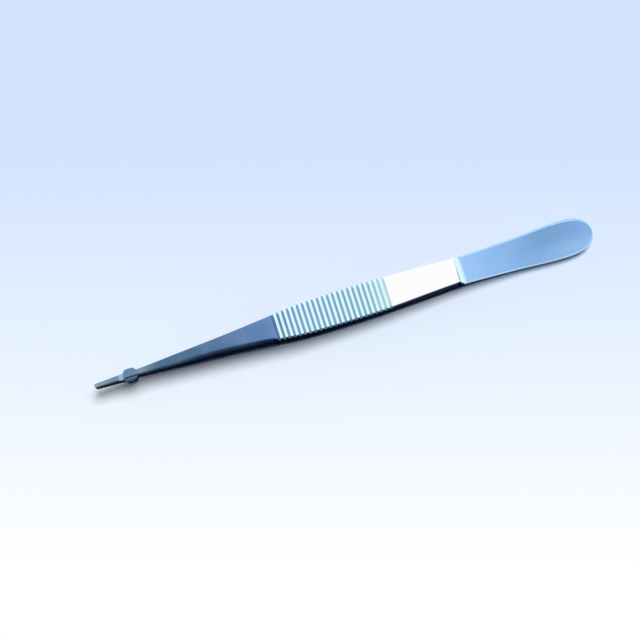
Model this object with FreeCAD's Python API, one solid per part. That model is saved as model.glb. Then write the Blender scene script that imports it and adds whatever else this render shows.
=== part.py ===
"""Thumb forceps for wound clips: two sprung steel leaves, welded face to face at the butt.

Each leaf is a forged strip, thick over the nose and the finger grip and ground thin over the
spring paddle. Its outer face has a ribbed grip. Near the tip it has a pair of side lugs with
a groove that seats a clip, and a slim prong in front of them.

The upper leaf is modelled with X running from the tip (0) to the butt, Y across the leaf and
Z = 0 on the weld plane. The pair is then laid down on the flat outer face of the lower leaf.
Millimetres throughout.
"""
import FreeCAD, Part
import math
import os

from FreeCAD import Vector

# Finger grip: cross grooves with a round floor and leaning walls
groove_count = 23
groove_pitch = 1.462
groove_depth = 0.42
groove_floor_radius = 0.16
groove_wall_lean = math.radians(25)

# Lengths of the stretches behind the nose, from the butt forward
overall_length = 145.0
weld_length = 15.5
butt_length = 8.5
paddle_length = 40.0
pad_length = 20.5
grip_margin = 0.75

# Stations that follow from them, from the tip
paddle_fullest = overall_length - butt_length
step_at = overall_length - paddle_length
first_groove = step_at - pad_length - (groove_count - 1) * groove_pitch
straight_front = first_groove - grip_margin
taper_end = first_groove - 13.25

# Stations at the front, from the tip
shoulder_foot = 7.2
shoulder_top = 8.7
lug_middle = 10.4
neck_end = 13.0

# Widths across one leaf
tip_width = 1.2
neck_width = 1.8
taper_width = 5.2
paddle_width = 10.6
neck_bend_radius = 40.0

# Stations and widths between the taper and the fullest place of the paddle
bowed_widths = [
    (first_groove - 2.25, 7.1),
    (first_groove + 6.15, 8.8),
    (first_groove + 15.65, 9.45),
    (first_groove + 28.65, 9.55),
    (step_at - 7.4, 8.5),
    (step_at + 2.0, 7.9),
    (step_at + 16.0, 8.8),
]

# The butt keeps most of its width until close to the end
butt_shoulder = 3.1
butt_shoulder_width = 9.0

# Thicknesses of one leaf
spring_thickness = 1.1
body_thickness = 2.2
nose_thickness = 1.8
prong_root_thickness = 1.15
prong_tip_thickness = 0.8

# Gaps between the inner faces of the two leaves at rest
tip_gap = 4.6
lug_gap = 5.8
grip_gap = 10.0
step_gap = 4.6

# Side lugs and the groove that seats a clip
lug_length = 3.8
lug_span = 3.8
lug_thickness = 1.25
lug_corner_radius = 1.3
lug_edge_bevel = 0.25
clip_groove_radius = 0.4

# Edge finish: broad bevels on the thick parts, a small round on the thin paddle
body_edge_bevel = 0.7
prong_edge_bevel = 0.25
paddle_edge_radius = 0.25
step_hollow_radius = 1.0

# Slack that lets a cutter or a block run past the metal
run_out = 2.0
skim = 0.1

weld_front = overall_length - weld_length
side_reach = paddle_width / 2 + run_out
body_slope = math.atan((grip_gap - step_gap) / 2 / (step_at - first_groove))
prong_fall = (lug_gap - tip_gap) / 2 / lug_middle

toward_tip = Vector(-math.cos(body_slope), 0, math.sin(body_slope))
nose_end = Vector(-1, 0, -prong_fall).normalize()


def line(a, b):
    """A straight edge."""
    return Part.LineSegment(a, b).toShape()


def spline(points, start, end):
    """A smooth edge through the points that leaves and arrives in the given directions."""
    curve = Part.BSplineCurve()
    curve.interpolate(Points=points, InitialTangent=start, FinalTangent=end)
    return curve.toShape()


def chain(points):
    """Straight edges that join the points and close on the first."""
    return [line(a, b) for a, b in zip(points, points[1:] + points[:1])]


def face_of(edges):
    """The flat face that closed edges bound."""
    return Part.Face(Part.Wire(Part.__sortEdges__(edges)))


def swept_sideways(edges, reach=side_reach):
    """A solid from a closed side view, reaching as far to each side of the middle line."""
    face = face_of(edges)
    face.translate(Vector(0, -reach, 0))
    return face.extrude(Vector(0, 2 * reach, 0))


def on_body(station, height):
    """A point in the side view of the straight stretch, at a height square to the inner face."""
    inner = step_gap / 2 + (step_at - station) * math.tan(body_slope)
    return Vector(station + height * math.sin(body_slope), 0, inner + height * math.cos(body_slope))


def on_prong(station, height):
    """A point in the side view in front of the lugs, at a height above the inner face."""
    return Vector(station, 0, tip_gap / 2 + prong_fall * station + height)


def bend(corner, before, after, radius):
    """The arc that rounds a corner in an outline, with the points where it meets its two lines."""
    a = (corner - before).normalize()
    b = (after - corner).normalize()
    turn = a.getAngle(b)
    setback = radius * math.tan(turn / 2)
    start = corner - a * setback
    end = corner + b * setback
    inward = (b - a).normalize()
    middle = corner + inward * (radius / math.cos(turn / 2) - radius)
    return start, Part.Arc(start, middle, end).toShape(), end


def flank(side):
    """One long edge of the outline from above, from the shoulder in front of the lugs to the paddle."""
    front = Vector(shoulder_foot, side * neck_width / 2, 0)
    neck = Vector(neck_end, side * neck_width / 2, 0)
    taper = Vector(taper_end, side * taper_width / 2, 0)
    bend_start, bend_edge, bend_end = bend(neck, front, taper, neck_bend_radius)
    full = [taper] + [Vector(station, side * width / 2, 0) for station, width in bowed_widths]
    full.append(Vector(paddle_fullest, side * paddle_width / 2, 0))
    return [line(front, bend_start), bend_edge, line(bend_end, taper),
            spline(full, (taper - neck).normalize(), Vector(1, 0, 0))]


def outline():
    """The leaf's outline from above, behind the prong, as an upright block."""
    half_front = neck_width / 2
    half_paddle = paddle_width / 2
    half_shoulder = butt_shoulder_width / 2
    butt = [Vector(paddle_fullest, half_paddle, 0),
            Vector(overall_length - butt_shoulder, half_shoulder, 0),
            Vector(overall_length, 0, 0),
            Vector(overall_length - butt_shoulder, -half_shoulder, 0),
            Vector(paddle_fullest, -half_paddle, 0)]
    edges = flank(1) + flank(-1)
    edges.append(spline(butt, Vector(1, 0, 0), Vector(-1, 0, 0)))
    edges.append(line(Vector(shoulder_foot, half_front, 0), Vector(shoulder_foot, -half_front, 0)))
    return face_of(edges).extrude(Vector(0, 0, grip_gap / 2 + body_thickness + run_out))


def nose_edge(height_at_body, height_at_lug):
    """The side view of the nose, from the grip to the middle of the lugs."""
    lug = on_prong(lug_middle, height_at_lug)
    return spline([on_body(straight_front, height_at_body), lug], toward_tip, nose_end)


def spring_edge(height, body_end):
    """The side view of the spring, from the weld to the straight stretch."""
    return spline([Vector(weld_front, 0, height), body_end], Vector(-1, 0, 0), toward_tip)


def lies_along(edge, side_view):
    """True for a long edge of the leaf whose side view lies on one of the given edges."""
    if edge.BoundBox.XLength < 0.5:
        return False
    for share in (0.2, 0.5, 0.8):
        point = edge.valueAt(edge.FirstParameter + share * (edge.LastParameter - edge.FirstParameter))
        seen = Part.Vertex(Vector(point.x, 0, point.z))
        if min(e.distToShape(seen)[0] for e in side_view) > 0.01:
            return False
    return True


def blank():
    """The leaf behind the prong at its full thickness, with its long outer edges bevelled."""
    outer_butt = on_body(overall_length + run_out, body_thickness)
    inner_butt = Vector(outer_butt.x, 0, 0)
    inner_front = on_prong(shoulder_foot, 0)
    outer_front = on_prong(shoulder_foot, nose_thickness)
    outer = [line(outer_front, on_prong(lug_middle, nose_thickness)),
             nose_edge(body_thickness, nose_thickness),
             line(on_body(straight_front, body_thickness), outer_butt)]
    side_view = outer + [line(outer_butt, inner_butt),
                         line(inner_butt, Vector(weld_front, 0, 0)),
                         spring_edge(0, on_body(step_at, 0)),
                         line(on_body(step_at, 0), on_body(straight_front, 0)),
                         nose_edge(0, 0),
                         line(on_prong(lug_middle, 0), inner_front),
                         line(inner_front, outer_front)]
    solid = swept_sideways(side_view).common(outline()).Solids[0]
    bevel = min(body_edge_bevel, 0.46 * neck_width, 0.46 * nose_thickness)
    return solid.makeChamfer(bevel, [e for e in solid.Edges if lies_along(e, outer)])


hollow_radius = min(step_hollow_radius, 0.96 * (body_thickness - spring_thickness))
hollow_foot = on_body(step_at + hollow_radius, spring_thickness)
hollow_top = on_body(step_at, spring_thickness + hollow_radius)


def paddle_top():
    """The side view of the paddle's outer face, from the hollow to past the butt."""
    bend_start = Vector(weld_front, 0, spring_thickness)
    return [spring_edge(spring_thickness, hollow_foot),
            line(bend_start, Vector(overall_length + 2 * run_out, 0, spring_thickness))]


def ground_spring():
    """What is ground off above the spring paddle, with the hollow that runs up to the thick pad."""
    hang = hollow_radius * (1 - math.sqrt(0.5))
    hollow = Part.Arc(hollow_foot, on_body(step_at + hang, spring_thickness + hang), hollow_top).toShape()
    wall_top = on_body(step_at, body_thickness + run_out)
    far = overall_length + 2 * run_out
    wall = [hollow_top, wall_top, Vector(far, 0, wall_top.z), Vector(far, 0, spring_thickness)]
    return swept_sideways(paddle_top() + [hollow] + [line(a, b) for a, b in zip(wall, wall[1:])])


def rounded_paddle(leaf):
    """The leaf with a small round along the outer edge of its paddle."""
    rim = [e for e in leaf.Edges if lies_along(e, paddle_top())]
    return leaf.makeFillet(min(paddle_edge_radius, 0.4 * spring_thickness), rim)


def groove_cutter(station):
    """One cross groove of the grip: a round floor between two slanted walls."""
    half_angle = math.radians(90) - groove_wall_lean
    centre_height = body_thickness - groove_depth + groove_floor_radius
    touch_across = groove_floor_radius * math.sin(half_angle)
    touch_height = centre_height - groove_floor_radius * math.cos(half_angle)
    top_height = body_thickness + skim
    top_across = touch_across + (top_height - touch_height) * math.tan(groove_wall_lean)
    touches = [on_body(station + side * touch_across, touch_height) for side in (-1, 1)]
    tops = [on_body(station + side * top_across, top_height) for side in (-1, 1)]
    floor = Part.Arc(touches[0], on_body(station, body_thickness - groove_depth), touches[1]).toShape()
    walls = [line(touches[0], tops[0]), line(tops[0], tops[1]), line(tops[1], touches[1])]
    return swept_sideways([floor] + walls)


def prong():
    """The slim prong in front of the lugs, with a round end and bevelled outer edges."""
    tip_radius = tip_width / 2
    root = shoulder_top
    side_view = chain([on_prong(0, 0), on_prong(root, 0), on_prong(root, prong_root_thickness),
                       on_prong(0, prong_tip_thickness)])
    half_root = neck_width / 2
    left = Vector(tip_radius, tip_radius, 0)
    right = Vector(tip_radius, -tip_radius, 0)
    edges = [Part.Arc(left, Vector(0, 0, 0), right).toShape(),
             line(left, Vector(root, half_root, 0)),
             line(Vector(root, half_root, 0), Vector(root, -half_root, 0)),
             line(Vector(root, -half_root, 0), right)]
    block = face_of(edges).extrude(Vector(0, 0, grip_gap))
    solid = swept_sideways(side_view).common(block).Solids[0]
    outer = [line(on_prong(0, prong_tip_thickness), on_prong(root, prong_root_thickness))]
    bevel = min(prong_edge_bevel, 0.4 * tip_width, 0.4 * prong_tip_thickness)
    return solid.makeChamfer(bevel, [e for e in solid.Edges if lies_along(e, outer)])


def front_shoulder():
    """What is cut off in front of the lugs, so that the nose slopes down to the prong."""
    foot = on_prong(shoulder_foot, prong_root_thickness)
    top = on_prong(shoulder_top, nose_thickness)
    slope = (top - foot).normalize()
    return swept_sideways(chain([foot - slope * run_out, top + slope * run_out,
                                 on_prong(shoulder_foot - run_out, nose_thickness + run_out)]))


def lugs():
    """The pair of side lugs as one bar across the leaf, with rounded ends."""
    base = on_prong(lug_middle, 0)
    bar = Part.makeBox(lug_length, lug_span, lug_thickness,
                       Vector(-lug_length / 2, -lug_span / 2, 0))
    upright = [e for e in bar.Edges if e.BoundBox.ZLength > lug_thickness / 2]
    bar = bar.makeFillet(min(lug_corner_radius, 0.45 * lug_length, 0.45 * lug_span), upright)
    rim = [e for e in bar.Edges if e.BoundBox.ZMin > lug_thickness - 0.01]
    bar = bar.makeChamfer(min(lug_edge_bevel, 0.4 * lug_thickness), rim)
    bar.rotate(Vector(0, 0, 0), Vector(0, 1, 0), -math.degrees(math.atan(prong_fall)))
    bar.translate(base)
    return bar


def clip_groove():
    """The round groove across the inner face of the lugs."""
    base = on_prong(lug_middle, 0)
    return Part.makeCylinder(clip_groove_radius, lug_span + 2 * run_out,
                             Vector(base.x, -lug_span / 2 - run_out, base.z), Vector(0, 1, 0))


def upper_leaf():
    """One finished leaf, above the weld plane."""
    leaf = rounded_paddle(blank().cut(ground_spring()).Solids[0])
    leaf = leaf.cut(front_shoulder()).fuse([prong(), lugs()]).removeSplitter()
    leaf = leaf.cut([groove_cutter(first_groove + k * groove_pitch) for k in range(groove_count)])
    return leaf.cut(clip_groove()).Solids[0]


def laid_down(leaf):
    """The leaf turned so that the pair lies on the flat outer face of the lower leaf."""
    leaf = leaf.copy()
    leaf.rotate(Vector(0, 0, 0), Vector(0, 1, 0), math.degrees(body_slope))
    return leaf


def main():
    """Both leaves in the resting pose, centred over the origin."""
    upper = upper_leaf()
    lower = upper.mirror(Vector(0, 0, 0), Vector(0, 0, 1))
    pair = {"upper_leaf": laid_down(upper), "lower_leaf": laid_down(lower)}
    outer_face = on_body(first_groove, body_thickness)
    floor = -outer_face.x * math.sin(body_slope) - outer_face.z * math.cos(body_slope)
    box = Part.makeCompound(list(pair.values())).optimalBoundingBox(False)
    os.makedirs("parts", exist_ok=True)
    for name, leaf in pair.items():
        leaf.translate(Vector(-(box.XMin + box.XMax) / 2, 0, -floor))
        leaf.exportStep(f"parts/{name}.step")
        print(name, "solids", len(leaf.Solids), "volume", round(leaf.Volume, 2), "valid", leaf.isValid())


main()
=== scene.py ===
import math

import bmesh
import bpy
from mathutils import Matrix, Vector


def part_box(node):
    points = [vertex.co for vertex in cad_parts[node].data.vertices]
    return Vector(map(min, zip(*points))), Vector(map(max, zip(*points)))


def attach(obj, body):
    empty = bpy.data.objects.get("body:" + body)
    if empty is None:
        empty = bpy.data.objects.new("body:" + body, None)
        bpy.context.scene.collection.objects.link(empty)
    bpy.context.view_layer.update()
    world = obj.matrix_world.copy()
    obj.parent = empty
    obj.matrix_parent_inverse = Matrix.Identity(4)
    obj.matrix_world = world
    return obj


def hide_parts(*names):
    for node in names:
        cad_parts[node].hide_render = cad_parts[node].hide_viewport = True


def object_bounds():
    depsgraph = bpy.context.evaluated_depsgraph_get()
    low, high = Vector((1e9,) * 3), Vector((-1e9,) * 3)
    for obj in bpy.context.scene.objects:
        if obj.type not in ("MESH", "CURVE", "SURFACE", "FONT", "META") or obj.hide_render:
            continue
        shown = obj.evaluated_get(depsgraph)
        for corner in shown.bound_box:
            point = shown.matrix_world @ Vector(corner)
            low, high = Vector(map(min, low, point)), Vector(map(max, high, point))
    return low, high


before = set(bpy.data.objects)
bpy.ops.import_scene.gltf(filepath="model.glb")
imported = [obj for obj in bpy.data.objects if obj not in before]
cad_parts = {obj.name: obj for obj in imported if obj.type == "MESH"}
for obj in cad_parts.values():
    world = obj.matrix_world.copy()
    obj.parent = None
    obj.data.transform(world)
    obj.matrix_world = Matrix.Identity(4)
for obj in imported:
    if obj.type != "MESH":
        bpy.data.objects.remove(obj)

cad_low, cad_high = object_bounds()

# The forged leaf.
# Each leaf is one strip of stainless steel, drop forged and ground. It is thick over the nose and
# the finger grip and thin over the spring paddle. Both leaves come from the same dies.
MM = 0.001
LENGTH = 145.0
PADDLE_LENGTH = 40.0
PAD_LENGTH = 20.5
GROOVES = 23
GROOVE_PITCH = 1.462
WELD_LENGTH = 15.5
STEP = LENGTH - PADDLE_LENGTH
FIRST_GROOVE = STEP - PAD_LENGTH - (GROOVES - 1) * GROOVE_PITCH
GRIP_FRONT = FIRST_GROOVE - 0.75
NECK_END = 13.0
TAPER_END = FIRST_GROOVE - 13.25
WELD_FRONT = LENGTH - WELD_LENGTH
SHOULDER_FOOT = 7.2
SHOULDER_TOP = 8.7
LUG_MIDDLE = 10.4

SPRING_THICK = 1.1
BODY_THICK = 2.2
NOSE_THICK = 1.8
PRONG_ROOT_THICK = 1.15
PRONG_TIP_THICK = 0.8

TIP_GAP = 4.6
LUG_GAP = 5.8
GRIP_GAP = 10.0
STEP_GAP = 4.6

TIP_WIDTH = 1.2
NECK_WIDTH = 1.8
TAPER_WIDTH = 5.2
BUTT_LENGTH = 8.5
BUTT_BLUNTNESS = 2.45
PADDLE_WIDTH = 10.6


def steps(count):
    """Shares from 0 to 1 in equal steps, both ends included."""
    return [k / count for k in range(count + 1)]


def between(a, b, share):
    return a + (b - a) * share


# Width across the leaf, from the front shoulder to the fullest place of the paddle
WIDTHS = [
    (SHOULDER_FOOT, NECK_WIDTH),
    (LUG_MIDDLE, NECK_WIDTH),
    (NECK_END, NECK_WIDTH + 0.05),
    (between(NECK_END, TAPER_END, 0.5), between(NECK_WIDTH, TAPER_WIDTH, 0.5)),
    (TAPER_END, TAPER_WIDTH),
    (FIRST_GROOVE - 2.25, 7.1),
    (FIRST_GROOVE + 6.15, 8.8),
    (FIRST_GROOVE + 15.65, 9.45),
    (FIRST_GROOVE + 28.65, 9.55),
    (STEP - 7.4, 8.5),
    (STEP + 2.0, 7.9),
    (STEP + 16.0, 8.8),
    (LENGTH - BUTT_LENGTH, PADDLE_WIDTH),
]

SLOPE = math.atan((GRIP_GAP - STEP_GAP) / 2 / (STEP - FIRST_GROOVE))
PRONG_FALL = (LUG_GAP - TIP_GAP) / 2 / LUG_MIDDLE
TOWARD_BUTT = (math.cos(SLOPE), -math.sin(SLOPE))


def curve_through(points, x):
    """A smooth curve through points in rising x, flat beyond its two ends."""
    if x <= points[0][0]:
        return points[0][1]
    if x >= points[-1][0]:
        return points[-1][1]
    k = max(i for i, p in enumerate(points[:-1]) if p[0] <= x)
    slopes = []
    for i in (k, k + 1):
        low = points[max(i - 1, 0)]
        high = points[min(i + 1, len(points) - 1)]
        ends = i == 0 or i == len(points) - 1
        slopes.append(0.0 if ends else (high[1] - low[1]) / (high[0] - low[0]))
    (x0, y0), (x1, y1) = points[k], points[k + 1]
    span = x1 - x0
    t = (x - x0) / span
    return ((2 * t ** 3 - 3 * t ** 2 + 1) * y0 + (t ** 3 - 2 * t ** 2 + t) * span * slopes[0]
            + (3 * t ** 2 - 2 * t ** 3) * y1 + (t ** 3 - t ** 2) * span * slopes[1])


def half_width(x):
    """Half the leaf's width at a distance from the tip, round at the tip and blunt at the butt."""
    if x < TIP_WIDTH / 2:
        return math.sqrt(max(0.0, (TIP_WIDTH / 2) ** 2 - (TIP_WIDTH / 2 - x) ** 2))
    if x < SHOULDER_FOOT:
        share = (x - TIP_WIDTH / 2) / (SHOULDER_FOOT - TIP_WIDTH / 2)
        return between(TIP_WIDTH, NECK_WIDTH, share) / 2
    past = (x - (LENGTH - BUTT_LENGTH)) / BUTT_LENGTH
    if past > 0:
        rest = max(0.0, 1 - min(1.0, past) ** BUTT_BLUNTNESS)
        return PADDLE_WIDTH / 2 * rest ** (1 / BUTT_BLUNTNESS)
    return curve_through(WIDTHS, x) / 2


def hermite(a, b, leave, arrive, share):
    """A point in the side view on the curve from a to b with the given directions at its ends."""
    chord = math.dist(a, b)
    t = share
    return tuple((2 * t ** 3 - 3 * t ** 2 + 1) * a[i] + (t ** 3 - 2 * t ** 2 + t) * chord * leave[i]
                 + (3 * t ** 2 - 2 * t ** 3) * b[i] + (t ** 3 - t ** 2) * chord * arrive[i] for i in (0, 1))


def on_body(station, height):
    """A side-view point over the straight stretch, at a height square to the inner face."""
    inner = STEP_GAP / 2 + (STEP - station) * math.tan(SLOPE)
    return station + height * math.sin(SLOPE), inner + height * math.cos(SLOPE)


def on_prong(station, height):
    return station, TIP_GAP / 2 + PRONG_FALL * station + height


# Share of the nose's curve that lies under the lugs, where the stations are close
LUG_SHARE = 0.058

# The hollow behind the pad, and how its front edge runs back over the bevels
HOLLOW_RADIUS = 1.0
RUN_OUT = 0.8
RUN_OUT_FRONT = 2.5
RUN_OUT_REAR = 1.6
REAR_LIP = 0.07
LAST_TURN = math.radians(89.2)
CLIP_GROOVE_RADIUS = 0.4


def grip_stations():
    """Stations over the ribbed grip, closest where the walls of the grooves stand."""
    near_wall = (0.04, 0.07, 0.10, 0.13, 0.16, 0.19, 0.215, 0.26, 0.36)
    spread = [-0.5] + [-s for s in reversed(near_wall)] + [0.0] + list(near_wall)
    return [FIRST_GROOVE + (k + s) * GROOVE_PITCH for k in range(GROOVES) for s in spread][1:]


def side_view():
    """Stations, pairs of side-view points, inner face and outer face, and thickness, tip to butt."""
    rows = []
    tip_radius = TIP_WIDTH / 2
    prong_stations = [tip_radius * (1 - math.cos(math.radians(a))) for a in (5, 15, 28, 42, 57, 73, 90)]
    prong_stations += [between(tip_radius, SHOULDER_FOOT, t) for t in steps(10)[1:]]
    for x in prong_stations:
        thick = between(PRONG_TIP_THICK, PRONG_ROOT_THICK, x / SHOULDER_TOP)
        rows.append((x, on_prong(x, 0), on_prong(x, thick), thick))
    for t in steps(10)[1:]:
        x = between(SHOULDER_FOOT, SHOULDER_TOP, t)
        rise = 3 * t ** 2 - 2 * t ** 3
        thick = between(PRONG_ROOT_THICK, NOSE_THICK, rise)
        rows.append((x, on_prong(x, 0), on_prong(x, thick), thick))
    for t in steps(20)[1:]:
        x = between(SHOULDER_TOP, LUG_MIDDLE, t)
        rows.append((x, on_prong(x, 0), on_prong(x, NOSE_THICK), NOSE_THICK))
    nose_end = (1 / math.hypot(1, PRONG_FALL), PRONG_FALL / math.hypot(1, PRONG_FALL))
    nose_shares = [LUG_SHARE * t for t in steps(16)[1:]]
    nose_shares += [between(LUG_SHARE, 1.0, t) for t in steps(60)[1:]]
    for t in nose_shares:
        inner = hermite(on_prong(LUG_MIDDLE, 0), on_body(GRIP_FRONT, 0), nose_end, TOWARD_BUTT, t)
        outer = hermite(on_prong(LUG_MIDDLE, NOSE_THICK), on_body(GRIP_FRONT, BODY_THICK),
                        nose_end, TOWARD_BUTT, t)
        rows.append((inner[0], inner, outer, math.dist(inner, outer)))
    pad_end = STEP - REAR_LIP
    last_rib = grip_stations()[-1]
    for station in grip_stations() + [between(last_rib, pad_end, t) for t in steps(24)[1:]]:
        rows.append((station, on_body(station, 0), on_body(station, BODY_THICK), BODY_THICK))
    for angle in (30, 60, 90):
        turn = math.radians(angle)
        station = pad_end + REAR_LIP * math.sin(turn)
        height = BODY_THICK - REAR_LIP * (1 - math.cos(turn))
        rows.append((station, on_body(station, 0), on_body(station, height), height))
    for t in steps(10):
        turn = math.radians(90 * t)
        station = STEP + HOLLOW_RADIUS * (1 - math.cos(turn))
        under = between(STEP, STEP + HOLLOW_RADIUS, 0.02 + 0.98 * t)
        height = SPRING_THICK + HOLLOW_RADIUS * (1 - math.sin(turn))
        rows.append((under, on_body(under, 0), on_body(station, height), height))
    hollow_foot = on_body(STEP + HOLLOW_RADIUS, SPRING_THICK)
    spring_inner = on_body(STEP + HOLLOW_RADIUS, 0)
    for t in steps(50)[1:]:
        inner = hermite(spring_inner, (WELD_FRONT, 0), TOWARD_BUTT, (1, 0), t)
        outer = hermite(hollow_foot, (WELD_FRONT, SPRING_THICK), TOWARD_BUTT, (1, 0), t)
        rows.append((inner[0], inner, outer, math.dist(inner, outer)))
    butt_front = LENGTH - BUTT_LENGTH
    butt_stations = [between(WELD_FRONT, butt_front, t) for t in steps(12)[1:]]
    butt_stations += [butt_front + BUTT_LENGTH * math.sin(LAST_TURN * t) for t in steps(36)[1:]]
    rows += [(x, (x, 0), (x, SPRING_THICK), SPRING_THICK) for x in butt_stations]
    return rows


# The side lugs near the tip: one bar across each leaf with round ends, which carries the clip groove
LUG_LENGTH = 3.8
LUG_SPAN = 3.65
LUG_THICK = 1.25
LUG_CORNER = 1.3
LUG_CROWN = 1.0
LUG_FALL = 0.55


def lug_reach(x):
    """How far the lug bar reaches to each side, or 0 where there is none."""
    from_end = LUG_LENGTH / 2 - abs(x - LUG_MIDDLE)
    if from_end <= 0:
        return 0.0
    fall = max(0.0, LUG_CORNER - from_end)
    return LUG_SPAN / 2 - LUG_CORNER + math.sqrt(LUG_CORNER ** 2 - fall ** 2)


INNER_EDGE = 0.08
INNER_EDGE_SHARE = 0.18
ROUNDNESS = 0.75
OUTER_FACE, BEVEL_FACE, WALL_FACE, INNER_FACE = 0.0, 1.0, 2.0, 3.0

# Width of the outer edge's bevel, how far it falls for its width, and how round it is
BEVELS = [
    (0.0, 0.3, 1.0, 0.6),
    (SHOULDER_FOOT, 0.65, 0.9, 0.8),
    (NECK_END, 0.9, 0.85, 0.95),
    (TAPER_END - 14.0, 1.7, 0.6, 1.0),
    (TAPER_END, 1.85, 0.58, 1.0),
    (FIRST_GROOVE - 2.0, 1.4, 0.6, 0.8),
    (FIRST_GROOVE, 0.88, 0.75, 0.4),
    (STEP - 20.0, 0.92, 0.75, 0.4),
    (STEP, 1.05, 0.7, 0.2),
    (STEP + HOLLOW_RADIUS, 0.52, 0.3, 0.3),
    (LENGTH - 14.0, 0.52, 0.3, 0.3),
    (LENGTH - 5.0, 0.7, 0.3, 0.3),
]


def bevel_at(x, thick, width):
    """Width, fall and roundness of the outer edge's bevel, kept inside the leaf."""
    wide, steep, belly = (curve_through([(row[0], row[k]) for row in BEVELS], x) for k in (1, 2, 3))
    wide = min(wide, 0.92 * width)
    return wide, min(wide * steep, 0.8 * thick), belly


def half_section(x_inner, x_outer, thick):
    """Across one side of the leaf, inner face first: distance from the middle line, height and face."""
    inner = half_width(x_inner)
    outer = half_width(x_outer)
    bevel, fall, belly = bevel_at(x_outer, thick, outer)
    edge = min(INNER_EDGE, INNER_EDGE_SHARE * inner)
    reach = max(inner, lug_reach(x_inner))
    points = [(reach * share, 0.0, INNER_FACE) for share in (0.0, 0.35, 0.7)]
    points.append((reach - 1.5 * edge, 0.0, INNER_FACE))
    for angle in (0, 30, 60, 90):
        turn = math.radians(angle)
        points.append((reach - edge * (1 - math.sin(turn)), edge * (1 - math.cos(turn)), WALL_FACE))
    wall = thick - fall
    lug_on = reach > inner + 1e-6
    lug_top = LUG_THICK if lug_on else 0.6 * wall + 0.4 * edge
    side = between(inner, outer, lug_top / thick)
    if lug_on and lug_top > wall:
        side -= lug_top - wall
    crown = min(LUG_CROWN, reach - inner) if lug_on else 0.0
    lug_fall = max(LUG_FALL * crown / LUG_CROWN, 0.02)
    for angle in (0, 22, 44, 66, 90):
        turn = math.radians(angle)
        round_in = between(1 - math.cos(turn), angle / 90, ROUNDNESS)
        rise = between(math.sin(turn), angle / 90, ROUNDNESS)
        across = reach - crown * round_in if lug_on else between(reach, side, angle / 90)
        kind = BEVEL_FACE if lug_on else WALL_FACE
        points.append((across, lug_top - lug_fall * (1 - rise), kind))
    points.append((side, lug_top + 0.02, WALL_FACE))
    start = max(wall, lug_top + 0.04)
    lost = (start - wall) / (thick - wall)
    for t in steps(8):
        share = between(lost, 1.0, t)
        chord = (outer - bevel * share, between(wall, thick, share))
        turn = math.radians(90 * share)
        arc = (outer - bevel * (1 - math.cos(turn)), between(wall, thick, math.sin(turn)))
        points.append((between(chord[0], arc[0], belly), between(chord[1], arc[1], belly), BEVEL_FACE))
    top = outer - bevel
    points.append((max(top - 0.06, 0.9 * top), thick, OUTER_FACE))
    points += [(top * share, thick, OUTER_FACE) for share in (0.66, 0.33, 0.0)]
    return points


def clip_groove(x):
    """How deep the round groove across the lugs is cut into the inner face."""
    away = abs(x - LUG_MIDDLE)
    return math.sqrt(CLIP_GROOVE_RADIUS ** 2 - away ** 2) if away < CLIP_GROOVE_RADIUS else 0.0


def run_out(station):
    """How far the wheel that grinds the hollow reaches back at the foot of the bevels."""
    reach = RUN_OUT_FRONT if station < STEP else RUN_OUT_REAR
    return RUN_OUT * max(0.0, 1.0 - abs(station - STEP) / reach)


# Laid down on the flat outer face of the lower leaf, with the middle of the length over the origin
FLOOR_DROP = on_body(FIRST_GROOVE, BODY_THICK)
CAD_MIDDLE = -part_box("upper_leaf")[1].x / MM
BUTT_TOP = LENGTH * math.cos(SLOPE) + SPRING_THICK * math.sin(SLOPE)


def laid_down(x, y, z):
    """A point of the working frame, in metres in the frame of the finished part."""
    turned_x = x * math.cos(SLOPE) + z * math.sin(SLOPE)
    turned_z = -x * math.sin(SLOPE) + z * math.cos(SLOPE)
    floor = -FLOOR_DROP[0] * math.sin(SLOPE) - FLOOR_DROP[1] * math.cos(SLOPE)
    return Vector((turned_x - BUTT_TOP - CAD_MIDDLE, y, turned_z - floor)) * MM


MARKS = ("station", "height", "face_kind", "bevel_drop")


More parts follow.
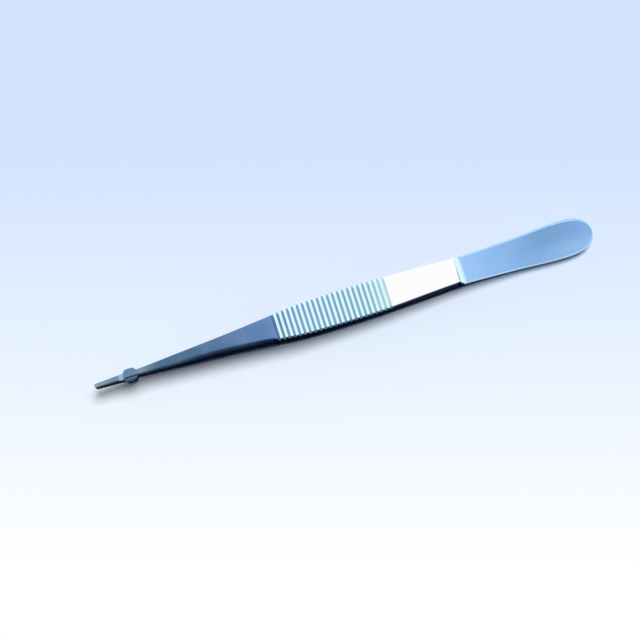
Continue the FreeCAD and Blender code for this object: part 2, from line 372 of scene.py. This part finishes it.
def leaf_mesh(name, side):
    """The closed mesh of one leaf, above the weld plane for side 1 and below it for side -1.

    The faces are turned outwards by the sign of the volume that they enclose.
    """
    made = bmesh.new()
    marks = {mark: made.verts.layers.float.new(mark) for mark in MARKS}
    loops = []
    for station, inner, outer, thick in side_view():
        half = half_section(inner[0], outer[0], thick)
        fall = bevel_at(outer[0], thick, half_width(outer[0]))[1]
        whole = half + [(-y, h, kind) for y, h, kind in reversed(half[1:-1])]
        loop = []
        for y, h, kind in whole:
            share = h / thick
            notch = clip_groove(inner[0]) if h < 0.5 * CLIP_GROOVE_RADIUS else 0.0
            x = between(inner[0], outer[0], share)
            z = between(inner[1], outer[1], share) + notch
            down = min(1.0, (thick - h) / fall) if kind == BEVEL_FACE else 0.0
            back = run_out(station) * down ** 2
            point = laid_down(x + back * math.cos(SLOPE), y, side * (z - back * math.sin(SLOPE)))
            point.x = min(max(point.x, cad_low.x), cad_high.x)
            vert = made.verts.new(point)
            vert[marks["station"]] = station
            vert[marks["height"]] = h
            vert[marks["face_kind"]] = kind
            vert[marks["bevel_drop"]] = down
            loop.append(vert)
        loops.append(loop)
    for a, b in zip(loops, loops[1:]):
        for k in range(len(a)):
            made.faces.new((a[k], a[k - 1], b[k - 1], b[k]))
    made.faces.new(loops[0])
    made.faces.new(list(reversed(loops[-1])))
    bmesh.ops.remove_doubles(made, verts=made.verts, dist=1e-7)
    bmesh.ops.dissolve_degenerate(made, edges=made.edges, dist=1e-7)
    bmesh.ops.recalc_face_normals(made, faces=made.faces)
    if made.calc_volume(signed=True) < 0:
        bmesh.ops.reverse_faces(made, faces=made.faces)
    mesh = bpy.data.meshes.new(name)
    made.to_mesh(mesh)
    made.free()
    return mesh


# The steel and its finishes.
# The nose is ground matt, and the grip and the pad are polished. Their white, and the bright cyan of the
# hollow behind them, are painted highlights that stand in for glare on the steel. The spring paddle is
# brushed across. The edges are polished.
def srgb(red, green, blue):
    """A colour written in display values from 0 to 255."""
    def linear(c):
        c = c / 255
        return c / 12.92 if c < 0.04045 else ((c + 0.055) / 1.055) ** 2.4
    return linear(red), linear(green), linear(blue), 1.0


def put(tree, kind, settings=None, **inputs):
    """A node with its settings, and its inputs set to a value or wired to a socket."""
    node = tree.nodes.new(kind)
    for name, value in (settings or {}).items():
        setattr(node, name, value)
    for name, value in inputs.items():
        key = int(name[1:]) if name[0] == "i" and name[1:].isdigit() else name.replace("_", " ")
        if isinstance(value, bpy.types.NodeSocket):
            tree.links.new(value, node.inputs[key])
        else:
            node.inputs[key].default_value = value
    return node


def maths(tree, operation, a, b=0.0):
    return put(tree, "ShaderNodeMath", {"operation": operation}, i0=a, i1=b).outputs[0]


def fade(tree, value, low, high, a=0.0, b=1.0):
    """Goes smoothly from a to b while the value goes from low to high."""
    settings = {"interpolation_type": "SMOOTHSTEP"}
    return put(tree, "ShaderNodeMapRange", settings, Value=value, From_Min=low, From_Max=high,
               To_Min=a, To_Max=b).outputs[0]


def mixed(tree, share, a, b, blend="MIX"):
    settings = {"data_type": "RGBA", "blend_type": blend}
    return put(tree, "ShaderNodeMix", settings, i0=share, i6=a, i7=b).outputs[2]


def read(tree, name):
    return put(tree, "ShaderNodeAttribute", {"attribute_name": name}).outputs["Fac"]


def tones(tree, station, stops):
    """A colour that changes along the leaf, from stops of station and colour."""
    ramp = put(tree, "ShaderNodeValToRGB", None, Fac=maths(tree, "DIVIDE", station, LENGTH))
    colours = ramp.color_ramp
    while len(colours.elements) < len(stops):
        colours.elements.new(0.5)
    for element, (at, colour) in zip(colours.elements, stops):
        element.position = at / LENGTH
        element.color = colour
    return ramp.outputs["Color"]


PRONG_GREY = srgb(148, 170, 186)
PRONG_BLUE = srgb(112, 140, 168)
# Painted highlight on the sloped shoulder in front of the lugs
SHOULDER_HIGHLIGHT = srgb(186, 212, 232)
LUG_BLUE = srgb(86, 126, 166)
NECK_TEAL = srgb(112, 146, 170)
NOSE_FRONT = srgb(83, 116, 149)
NOSE_REAR = srgb(104, 142, 194)
# Painted highlights: the glare on the rib crests and the pad, and on the hollow behind them
RIB_HIGHLIGHT = srgb(220, 255, 255)
PAD_GLARE = srgb(255, 255, 254)
HOLLOW_HIGHLIGHT = srgb(222, 255, 255)
# Painted shade at the hollow's front lip and on the nose's front bevel
PAINTED_SHADE_NAVY = srgb(22, 42, 82)
PADDLE_FRONT = srgb(155, 201, 253)
PADDLE_MIDDLE = srgb(146, 192, 243)
PADDLE_REAR = srgb(124, 168, 216)
# Painted reflection, lighter on the paddle's front edge
PADDLE_SHEEN = srgb(164, 208, 255)
BUTT_BLUE = srgb(138, 180, 238)
# Painted shade in the grooves between the ribs
GROOVE_SHADE_FRONT = srgb(99, 142, 184)
GROOVE_SHADE_MIDDLE = srgb(140, 173, 215)
GROOVE_SHADE_REAR = srgb(160, 190, 220)
GROOVE_SHADE_LAST = srgb(206, 228, 236)
# Painted shade: a darker slate on the side walls, the inner faces and the grooves' front bevel
SHADED_SLATE = srgb(74, 98, 132)
# Painted highlight on the paddle's rounded rim
RIM_HIGHLIGHT = srgb(178, 219, 254)
MARK_SLATE = srgb(70, 95, 130)
CLOUD_PALE = srgb(225, 240, 252)

NOSE_ROUGHNESS = 0.42
GRIP_ROUGHNESS = 0.30
POLISHED_ROUGHNESS = 0.15
MARKS_ACROSS_SCALE = (3600, 160, 2500)
MARKS_ALONG_SCALE = (400, 7000, 2500)
CLOUD_SCALE = 90.0
MARK_STRENGTH = 0.12
MARK_HEIGHT = 0.02 * MM

steel = bpy.data.materials.new("satin_ground_steel")
steel.use_nodes = True
tree = steel.node_tree
shader = tree.nodes["Principled BSDF"]
station = read(tree, "station")
face_kind = read(tree, "face_kind")
groove = read(tree, "groove")
place = put(tree, "ShaderNodeTexCoord").outputs["Object"]

face_tone = tones(tree, station, [
    (0.0, PRONG_GREY),
    (SHOULDER_FOOT - 0.4, PRONG_BLUE),
    (SHOULDER_FOOT + 0.5, SHOULDER_HIGHLIGHT),
    (SHOULDER_TOP, LUG_BLUE),
    (LUG_MIDDLE + 1.5, LUG_BLUE),
    (NECK_END, NECK_TEAL),
    (NECK_END + 5.0, NOSE_FRONT),
    (TAPER_END - 10.0, NOSE_FRONT),
    (FIRST_GROOVE - 0.1, NOSE_REAR),
    (FIRST_GROOVE + 0.1, RIB_HIGHLIGHT),
    (STEP - PAD_LENGTH - 0.2, RIB_HIGHLIGHT),
    (STEP - PAD_LENGTH + 0.6, PAD_GLARE),
    (STEP - 0.02, PAD_GLARE),
    (STEP + 0.05, HOLLOW_HIGHLIGHT),
    (STEP + HOLLOW_RADIUS + 0.45, HOLLOW_HIGHLIGHT),
    (STEP + HOLLOW_RADIUS + 0.7, PADDLE_FRONT),
    (STEP + 13.0, PADDLE_MIDDLE),
    (STEP + 24.0, PADDLE_REAR),
    (LENGTH - 9.0, PADDLE_REAR),
    (LENGTH, BUTT_BLUE),
])
across = put(tree, "ShaderNodeSeparateXYZ", None, Vector=place).outputs["Y"]
on_bevel = fade(tree, maths(tree, "ABSOLUTE", maths(tree, "SUBTRACT", face_kind, 1.0)), 0.6, 0.1)
front_bevel = maths(tree, "MULTIPLY", on_bevel, fade(tree, across, 0.001, -0.001))
# Painted shade in the grooves, and slate on the front bevel where they run out
groove_shade_tone = tones(tree, station, [
    (FIRST_GROOVE, GROOVE_SHADE_FRONT),
    (FIRST_GROOVE + 3 * GROOVE_PITCH, GROOVE_SHADE_MIDDLE),
    (FIRST_GROOVE + 18 * GROOVE_PITCH, GROOVE_SHADE_REAR),
    (STEP - PAD_LENGTH, GROOVE_SHADE_LAST),
])
groove_shade_tone = mixed(tree, front_bevel, groove_shade_tone, SHADED_SLATE)
face_tone = mixed(tree, fade(tree, groove, 0.1, 0.8), face_tone, groove_shade_tone)

# Painted reflection: the paddle is a little lighter towards its front edge, more so towards the butt
on_paddle = fade(tree, station, STEP + 1.0, STEP + 2.0)
paddle_sheen = maths(tree, "MULTIPLY", fade(tree, across, 0.0018, -0.0032, 0.0, 0.5),
                 fade(tree, station, STEP + 12.0, LENGTH - 8.0))
face_tone = mixed(tree, paddle_sheen, face_tone, PADDLE_SHEEN)

# Painted shade: a dark line at the lip in front of the hollow and where it meets the front bevel, and on
# the front bevel of the nose, darker down its slope
from_lip = maths(tree, "ABSOLUTE", maths(tree, "SUBTRACT", station, STEP + 0.1))
painted_shade = maths(tree, "MULTIPLY", fade(tree, from_lip, 0.32, 0.14), fade(tree, across, 0.002, -0.001))
lip_end_shade = maths(tree, "MULTIPLY", front_bevel, fade(tree, from_lip, 1.2, 0.7))
painted_shade = maths(tree, "MAXIMUM", painted_shade, lip_end_shade)
nose_shade = maths(tree, "ADD", fade(tree, station, NECK_END + 8.0, NECK_END + 20.0, 0.0, 0.8),
                  fade(tree, station, TAPER_END - 0.5, TAPER_END + 5.0, 0.0, 0.17))
nose_shade = maths(tree, "MULTIPLY", nose_shade, fade(tree, station, FIRST_GROOVE - 0.6, FIRST_GROOVE - 1.0))
nose_shade = maths(tree, "MULTIPLY", nose_shade, fade(tree, read(tree, "bevel_drop"), 0.0, 0.09))
nose_shade = maths(tree, "MULTIPLY", nose_shade, fade(tree, across, 0.0, -0.0006))
painted_shade = maths(tree, "MAXIMUM", painted_shade, nose_shade)
face_tone = mixed(tree, painted_shade, face_tone, PAINTED_SHADE_NAVY)

# Painted highlight on the paddle's rounded rim, which is pale, and painted shade on the side walls and
# inner faces, which are slate
face_tone = mixed(tree, maths(tree, "MULTIPLY", on_bevel, on_paddle), face_tone, RIM_HIGHLIGHT)
on_wall = fade(tree, face_kind, 1.2, 2.0)
tone = mixed(tree, on_wall, face_tone, SHADED_SLATE)

# Fine grinding marks: lengthwise on the nose, across the leaf behind the grip
marks_across = put(tree, "ShaderNodeMapping", None, Vector=place, Scale=MARKS_ACROSS_SCALE).outputs[0]
marks_along = put(tree, "ShaderNodeMapping", None, Vector=place, Scale=MARKS_ALONG_SCALE).outputs[0]
across_noise = put(tree, "ShaderNodeTexNoise", None, Vector=marks_across, Detail=3.0).outputs["Fac"]
along_noise = put(tree, "ShaderNodeTexNoise", None, Vector=marks_along, Detail=3.0).outputs["Fac"]
behind_grip = maths(tree, "GREATER_THAN", station, STEP)
marks = put(tree, "ShaderNodeMix", None, Factor=behind_grip, A=along_noise, B=across_noise).outputs[0]
clouds = put(tree, "ShaderNodeTexNoise", None, Vector=place, Scale=CLOUD_SCALE, Detail=2.0).outputs["Fac"]
on_white = maths(tree, "MULTIPLY", fade(tree, station, FIRST_GROOVE - 0.1, FIRST_GROOVE + 0.1),
                 fade(tree, station, STEP + HOLLOW_RADIUS + 0.1, STEP + HOLLOW_RADIUS))
darker = fade(tree, marks, 0.3, 0.75, 0.0, fade(tree, on_white, 0.0, 1.0, 0.12, 0.015))
tone = mixed(tree, darker, tone, MARK_SLATE)
tone = mixed(tree, fade(tree, clouds, 0.4, 0.7, 0.0, 0.08), tone, CLOUD_PALE)
tree.links.new(tone, shader.inputs["Base Color"])

matt_nose = fade(tree, station, FIRST_GROOVE - 2.0, FIRST_GROOVE, NOSE_ROUGHNESS, GRIP_ROUGHNESS)
behind_nose = fade(tree, station, FIRST_GROOVE - 2.0, FIRST_GROOVE)
polished = maths(tree, "MULTIPLY", fade(tree, face_kind, 0.3, 1.0), behind_nose)
polished = maths(tree, "MAXIMUM", polished, fade(tree, face_kind, 1.05, 1.6))
rough = put(tree, "ShaderNodeMix", None, Factor=polished, A=matt_nose, B=POLISHED_ROUGHNESS).outputs[0]
rough = maths(tree, "ADD", rough, fade(tree, marks, 0.3, 0.75, -0.03, 0.05))
tree.links.new(rough, shader.inputs["Roughness"])
shader.inputs["Metallic"].default_value = 1.0
bump = put(tree, "ShaderNodeBump", None, Height=marks, Strength=MARK_STRENGTH, Distance=MARK_HEIGHT)
tree.links.new(bump.outputs[0], shader.inputs["Normal"])

# The ribbed finger grip.
# Cross grooves are milled into the outer face of each leaf, which leaves ribs between them for
# the fingers. They have a round floor and leaning walls, and run out through the bevelled edges.
GROOVE_DEPTH = 0.42
GROOVE_FLOOR = 0.08
GROOVE_MOUTH = 0.46
CREASE_ANGLE = math.radians(38)

cutter = bpy.data.node_groups.new("cross_grooves", "GeometryNodeTree")
sockets = {}
for name, socket in (("Leaf", "Geometry"), ("First Groove", "Float"), ("Pitch", "Float"),
                     ("Grooves", "Float"), ("Depth", "Float"), ("Floor Half Width", "Float"),
                     ("Mouth Half Width", "Float"), ("Leaf Thickness", "Float"),
                     ("Outward", "Vector"), ("Steel", "Material")):
    kind = "NodeSocket" + socket
    sockets[name] = cutter.interface.new_socket(name=name, in_out="INPUT", socket_type=kind).identifier
cutter.interface.new_socket(name="Leaf", in_out="OUTPUT", socket_type="NodeSocketGeometry")
given = cutter.nodes.new("NodeGroupInput").outputs
along = put(cutter, "GeometryNodeInputNamedAttribute", {"data_type": "FLOAT"}, Name="station").outputs[0]
height = put(cutter, "GeometryNodeInputNamedAttribute", {"data_type": "FLOAT"}, Name="height").outputs[0]
from_first = maths(cutter, "SUBTRACT", along, given["First Groove"])
nearest = maths(cutter, "ROUND", maths(cutter, "DIVIDE", from_first, given["Pitch"]))
last = maths(cutter, "SUBTRACT", given["Grooves"], 1.0)
nearest = maths(cutter, "MINIMUM", maths(cutter, "MAXIMUM", nearest, 0.0), last)
away = maths(cutter, "ABSOLUTE", maths(cutter, "SUBTRACT", from_first,
                                       maths(cutter, "MULTIPLY", nearest, given["Pitch"])))
cut = fade(cutter, away, given["Mouth Half Width"], given["Floor Half Width"])
sunk = maths(cutter, "MULTIPLY", cut, given["Depth"])
floor_height = maths(cutter, "SUBTRACT", given["Leaf Thickness"], sunk)
lowered = maths(cutter, "MAXIMUM", maths(cutter, "SUBTRACT", height, floor_height), 0.0)
drop = maths(cutter, "MULTIPLY", lowered, -MM)
offset = put(cutter, "ShaderNodeVectorMath", {"operation": "SCALE"},
             Vector=given["Outward"], Scale=drop).outputs[0]
moved = put(cutter, "GeometryNodeSetPosition", None, Geometry=given["Leaf"], Offset=offset).outputs[0]
# The groove attribute marks the grooves over the upper part of the leaf, where the steel is given painted
# shade
above = maths(cutter, "SUBTRACT", height, maths(cutter, "MULTIPLY", given["Leaf Thickness"], 0.7))
shade = maths(cutter, "MULTIPLY", cut, maths(cutter, "GREATER_THAN", above, 0.0))
stored = put(cutter, "GeometryNodeStoreNamedAttribute", {"data_type": "FLOAT", "domain": "POINT"},
             Geometry=moved, Name="groove", Value=shade).outputs[0]
realized = put(cutter, "GeometryNodeRealizeInstances", None, Geometry=stored).outputs[0]
finished = put(cutter, "GeometryNodeSetMaterial", None,
               Geometry=realized, Material=given["Steel"]).outputs[0]
cutter.links.new(finished, cutter.nodes.new("NodeGroupOutput").inputs[0])


def mill_grooves(leaf, outward):
    """Cuts the grooves into a leaf and leaves a plain mesh with no modifier."""
    milling = leaf.modifiers.new("cross_grooves", "NODES")
    milling.node_group = cutter
    sizes = {"First Groove": FIRST_GROOVE, "Pitch": GROOVE_PITCH, "Grooves": float(GROOVES),
             "Depth": GROOVE_DEPTH, "Floor Half Width": GROOVE_FLOOR, "Mouth Half Width": GROOVE_MOUTH,
             "Leaf Thickness": BODY_THICK, "Outward": outward, "Steel": steel}
    for name, value in sizes.items():
        milling[sockets[name]] = value
    depsgraph = bpy.context.evaluated_depsgraph_get()
    milled = bpy.data.meshes.new_from_object(leaf.evaluated_get(depsgraph), depsgraph=depsgraph)
    leaf.modifiers.clear()
    leaf.data = milled


for node, side in (("upper_leaf", 1), ("lower_leaf", -1)):
    leaf = bpy.data.objects.new(node + "_steel", leaf_mesh(node + "_steel", side))
    bpy.context.scene.collection.objects.link(leaf)
    lean = SLOPE if side == 1 else -SLOPE
    mill_grooves(leaf, (math.sin(SLOPE + lean), 0.0, side * math.cos(SLOPE + lean)))
    leaf.data.polygons.foreach_set("use_smooth", [True] * len(leaf.data.polygons))
    leaf.data.set_sharp_from_angle(angle=CREASE_ANGLE)
    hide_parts(node)
    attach(leaf, "root")

# The table top.
# A pale sheet that the forceps lie on. It goes from light blue at the back to white in front.
TURN = math.radians(17.75)
SHEET_BLUE = srgb(209, 226, 254)
SHEET_PALE = srgb(232, 242, 254)
SHEET_WHITE = srgb(255, 255, 255)
BLUE_FROM = 46.0
PALE_AT = -14.0
WHITE_UNTIL = -76.0
HALF_SHEET = 1.5

sheet = bpy.data.meshes.new("table_top")
flat = bmesh.new()
bmesh.ops.create_grid(flat, x_segments=1, y_segments=1, size=HALF_SHEET)
flat.to_mesh(sheet)
flat.free()
table_top = bpy.data.objects.new("table_top", sheet)
bpy.context.scene.collection.objects.link(table_top)
paper = bpy.data.materials.new("pale_sheet")
paper.use_nodes = True
paper_tree = paper.node_tree
paper_shader = paper_tree.nodes["Principled BSDF"]
on_sheet = put(paper_tree, "ShaderNodeTexCoord").outputs["Object"]
toward_back = put(paper_tree, "ShaderNodeVectorMath", {"operation": "DOT_PRODUCT"}, i0=on_sheet,
                  i1=(math.sin(TURN) / MM, math.cos(TURN) / MM, 0.0)).outputs["Value"]
near = put(paper_tree, "ShaderNodeMapRange", None, Value=toward_back,
           From_Min=WHITE_UNTIL, From_Max=PALE_AT).outputs[0]
far = put(paper_tree, "ShaderNodeMapRange", None, Value=toward_back,
          From_Min=PALE_AT, From_Max=BLUE_FROM).outputs[0]
sheet_tone = mixed(paper_tree, far, mixed(paper_tree, near, SHEET_WHITE, SHEET_PALE), SHEET_BLUE)
paper_tree.links.new(sheet_tone, paper_shader.inputs["Base Color"])
paper_shader.inputs["Roughness"].default_value = 1.0
paper_shader.inputs["Specular IOR Level"].default_value = 0.0
sheet.materials.append(paper)
table_top.visible_glossy = False

# Light.
# A soft lamp overhead, a little behind the forceps, gives the short shadow in front of them. The
# steel mirrors a white studio with a dark card low in front, which the camera itself doesn't see.
LAMP_LEVEL = 0.85
SKY_LEVEL = 0.18
LAMP_LEAN = math.radians(8.5)
LAMP_SIDE = math.radians(11.0)
LAMP_SPREAD = math.radians(21.0)
CARD_NAVY = srgb(3, 15, 46)
CARD_TOWARD = (0.0, -0.8, -0.6)
CARD_SOFTNESS = 0.36
CARD_SIDES = (0.6, 0.3)

lamp_data = bpy.data.lights.new("soft_lamp", "SUN")
lamp_data.energy = math.pi * LAMP_LEVEL / (math.cos(LAMP_LEAN) * math.cos(LAMP_SIDE))
lamp_data.angle = LAMP_SPREAD
lamp = bpy.data.objects.new("soft_lamp", lamp_data)
lamp.matrix_world = Matrix.Rotation(LAMP_SIDE, 4, "Y") @ Matrix.Rotation(-LAMP_LEAN, 4, "X")
lamp.visible_glossy = False
bpy.context.scene.collection.objects.link(lamp)

studio = bpy.data.worlds.new("studio")
bpy.context.scene.world = studio
studio.use_nodes = True
sky = studio.node_tree
backdrop = sky.nodes["Background"]
direction = put(sky, "ShaderNodeTexCoord").outputs["Generated"]
toward_card = put(sky, "ShaderNodeVectorMath", {"operation": "DOT_PRODUCT"}, i0=direction,
                  i1=CARD_TOWARD).outputs["Value"]
card = fade(sky, toward_card, -CARD_SOFTNESS, CARD_SOFTNESS)
sideways = put(sky, "ShaderNodeSeparateXYZ", None, Vector=direction).outputs["X"]
card = maths(sky, "MULTIPLY", card, fade(sky, maths(sky, "ABSOLUTE", sideways), *CARD_SIDES))
rays = put(sky, "ShaderNodeLightPath").outputs
card = maths(sky, "MULTIPLY", card, maths(sky, "SUBTRACT", 1.0, rays["Is Camera Ray"]))
sky.links.new(mixed(sky, card, (1, 1, 1, 1), CARD_NAVY), backdrop.inputs["Color"])
seen = maths(sky, "MAXIMUM", rays["Is Camera Ray"], rays["Is Glossy Ray"])
seen = maths(sky, "MAXIMUM", seen, rays["Is Transmission Ray"])
level = put(sky, "ShaderNodeMix", None, Factor=seen, A=SKY_LEVEL, B=1.0).outputs[0]
sky.links.new(level, backdrop.inputs["Strength"])

# Camera.
# Almost overhead, leaning towards the front, and turned so that the butt points up and right.
TILT = math.radians(5.0)
DISTANCE = 0.6
PIXELS_PER_MM = 3.63
IMAGE_PIXELS = 640
SENSOR_MM = 36
LOOKS_AT = Vector((-7.46, -1.47, 12.0)) * MM

bpy.context.scene.view_settings.view_transform = "Standard"
camera_data = bpy.data.cameras.new("camera")
camera_data.sensor_width = SENSOR_MM
camera_data.lens = PIXELS_PER_MM * DISTANCE / MM * SENSOR_MM / IMAGE_PIXELS
camera_data.clip_end = 10
camera = bpy.data.objects.new("camera", camera_data)
bpy.context.scene.collection.objects.link(camera)
bpy.context.scene.camera = camera
along_leaf = Vector((1, 0, 0))
across_leaf = Vector((0, math.cos(TILT), math.sin(TILT)))
backward = Vector((0, -math.sin(TILT), math.cos(TILT)))
right = along_leaf * math.cos(TURN) - across_leaf * math.sin(TURN)
up = along_leaf * math.sin(TURN) + across_leaf * math.cos(TURN)
pose = Matrix((right, up, backward)).transposed().to_4x4()
pose.translation = LOOKS_AT + backward * DISTANCE
camera.matrix_world = pose
